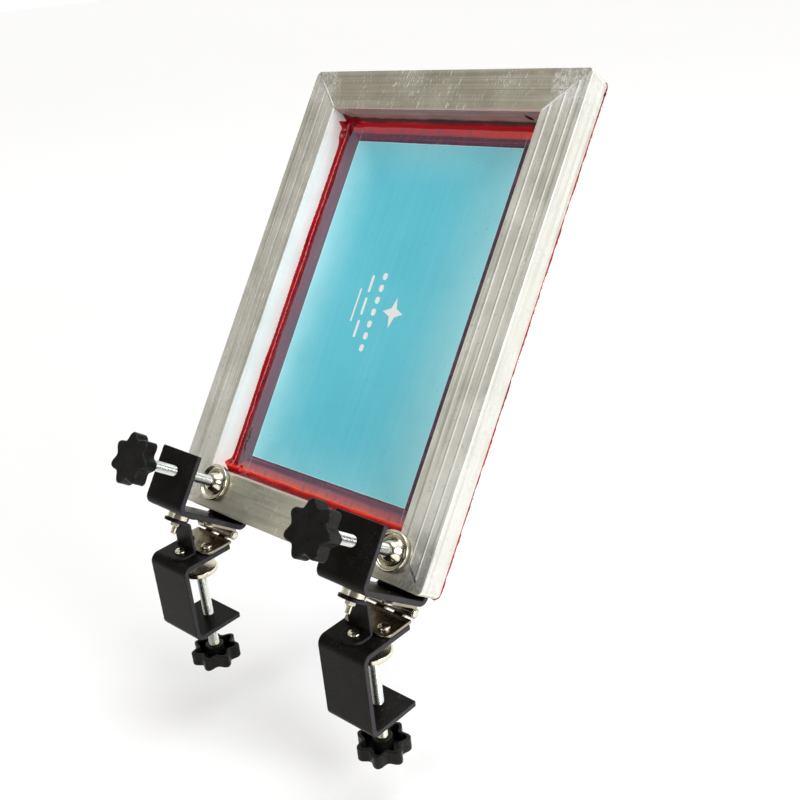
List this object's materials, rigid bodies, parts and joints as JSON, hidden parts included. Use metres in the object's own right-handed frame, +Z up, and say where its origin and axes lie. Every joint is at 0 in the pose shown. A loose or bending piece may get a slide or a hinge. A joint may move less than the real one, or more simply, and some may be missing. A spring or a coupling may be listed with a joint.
{
  "type": "screen printing frame with hinge clamps",
  "caption": "Welded aluminium printing screen with coated mesh, held at its lower end by hinged table clamps that swing it down to print and hold it open with magnets.",
  "frame": {"origin": "on the table's top edge, midway between the two clamps", "axes": "+X along the table edge, +Y inwards over the table, +Z up; the screen is raised and leans inwards at 36 degrees from upright"},
  "size_m": [0.254, 0.293, 0.4142],
  "materials": {
    "rail_aluminium": "brushed extrusion with smudges and fine scratches",
    "weld": "as-welded bead, brushed",
    "mesh_glue": "glossy red two-part screen adhesive",
    "mesh_fabric": "plain-weave polyester mesh, stained by glue and emulsion",
    "emulsion": "dried light-blue photo emulsion",
    "black_enamel": "semi-gloss black powder coat",
    "hinge_nickel": "dark nickel plate",
    "bright_nickel": "bright nickel plate",
    "magnet_ferrite": "sintered ferrite",
    "zinc_steel": "zinc-plated steel",
    "knob_plastic": "moulded black plastic"
  },
  "bodies": {
    "base": {"left_table_bracket": "black_enamel", "left_lower_leaf": "hinge_nickel", "left_hinge_pin": "hinge_nickel", "left_lower_leaf_screws": "bright_nickel", "left_magnet_bracket": "black_enamel", "left_magnet_bracket_screw": "bright_nickel", "left_magnet_cup": "bright_nickel", "left_magnet_disc": "magnet_ferrite", "left_magnet_nut": "bright_nickel", "right_table_bracket": "black_enamel", "right_lower_leaf": "hinge_nickel", "right_hinge_pin": "hinge_nickel", "right_lower_leaf_screws": "bright_nickel", "right_magnet_bracket": "black_enamel", "right_magnet_bracket_screw": "bright_nickel", "right_magnet_cup": "bright_nickel", "right_magnet_disc": "magnet_ferrite", "right_magnet_nut": "bright_nickel"},
    "left_swing": {"left_frame_bracket": "black_enamel", "left_upper_leaf": "hinge_nickel", "left_upper_leaf_screws": "bright_nickel"},
    "right_swing": {"right_frame_bracket": "black_enamel", "right_upper_leaf": "hinge_nickel", "right_upper_leaf_screws": "bright_nickel"},
    "screen": {"bottom_rail": "rail_aluminium", "top_rail": "rail_aluminium", "left_rail": "rail_aluminium", "right_rail": "rail_aluminium", "corner_welds": "weld", "glue_bead": "mesh_glue", "mesh": "mesh_fabric", "emulsion": "emulsion"},
    "left_table_clamp_foot": {"left_table_pad": "bright_nickel"},
    "left_table_clamp_handle": {"left_table_screw": "zinc_steel", "left_table_knob": "knob_plastic"},
    "left_frame_clamp_foot": {"left_frame_pad": "bright_nickel"},
    "left_frame_clamp_handle": {"left_frame_screw": "zinc_steel", "left_frame_knob": "knob_plastic"},
    "right_table_clamp_foot": {"right_table_pad": "bright_nickel"},
    "right_table_clamp_handle": {"right_table_screw": "zinc_steel", "right_table_knob": "knob_plastic"},
    "right_frame_clamp_foot": {"right_frame_pad": "bright_nickel"},
    "right_frame_clamp_handle": {"right_frame_screw": "zinc_steel", "right_frame_knob": "knob_plastic"}
  },
  "joints": [
    {"name": "left_hinge", "type": "hinge", "parent": "base", "child": "left_swing", "pos_m": [-0.09, 0.0462, 0.0088], "axis": [-1, 0, 0], "range_deg": [0, 54]},
    {"name": "right_hinge", "type": "hinge", "parent": "base", "child": "right_swing", "pos_m": [0.09, 0.0462, 0.0088], "axis": [-1, 0, 0], "range_deg": [0, 54]},
    {"name": "screen_slide", "type": "slide", "parent": "left_swing", "child": "screen", "axis": [0, 0.5878, 0.809], "range_m": [0, 0.045]},
    {"name": "left_table_pad_travel", "type": "slide", "parent": "base", "child": "left_table_clamp_foot", "axis": [0, 0, -1], "range_m": [-0.0126, 0.035]},
    {"name": "left_table_knob_turn", "type": "hinge", "parent": "left_table_clamp_foot", "child": "left_table_clamp_handle", "pos_m": [-0.09, 0.0235, -0.03], "axis": [0, 0, -1], "range_deg": [-3630, 10085]},
    {"name": "left_frame_pad_travel", "type": "slide", "parent": "left_swing", "child": "left_frame_clamp_foot", "axis": [0, -0.809, 0.5878], "range_m": [0, 0.031]},
    {"name": "left_frame_knob_turn", "type": "hinge", "parent": "left_frame_clamp_foot", "child": "left_frame_clamp_handle", "pos_m": [-0.09, 0.02856, 0.06278], "axis": [0, -0.809, 0.5878], "range_deg": [-1, 8932]},
    {"name": "right_table_pad_travel", "type": "slide", "parent": "base", "child": "right_table_clamp_foot", "axis": [0, 0, -1], "range_m": [-0.0126, 0.035]},
    {"name": "right_table_knob_turn", "type": "hinge", "parent": "right_table_clamp_foot", "child": "right_table_clamp_handle", "pos_m": [0.09, 0.0235, -0.03], "axis": [0, 0, -1], "range_deg": [-3630, 10085]},
    {"name": "right_frame_pad_travel", "type": "slide", "parent": "right_swing", "child": "right_frame_clamp_foot", "axis": [0, -0.809, 0.5878], "range_m": [0, 0.031]},
    {"name": "right_frame_knob_turn", "type": "hinge", "parent": "right_frame_clamp_foot", "child": "right_frame_clamp_handle", "pos_m": [0.09, 0.02856, 0.06278], "axis": [0, -0.809, 0.5878], "range_deg": [-1, 8932]}
  ],
  "couplings": [
    {"joint": "right_hinge", "follows": "left_hinge", "ratio": 1},
    {"joint": "left_table_knob_turn", "follows": "left_table_pad_travel", "rad_per_m": 5026.5},
    {"joint": "left_frame_knob_turn", "follows": "left_frame_pad_travel", "rad_per_m": 5026.5},
    {"joint": "right_table_knob_turn", "follows": "right_table_pad_travel", "rad_per_m": 5026.5},
    {"joint": "right_frame_knob_turn", "follows": "right_frame_pad_travel", "rad_per_m": 5026.5}
  ]
}
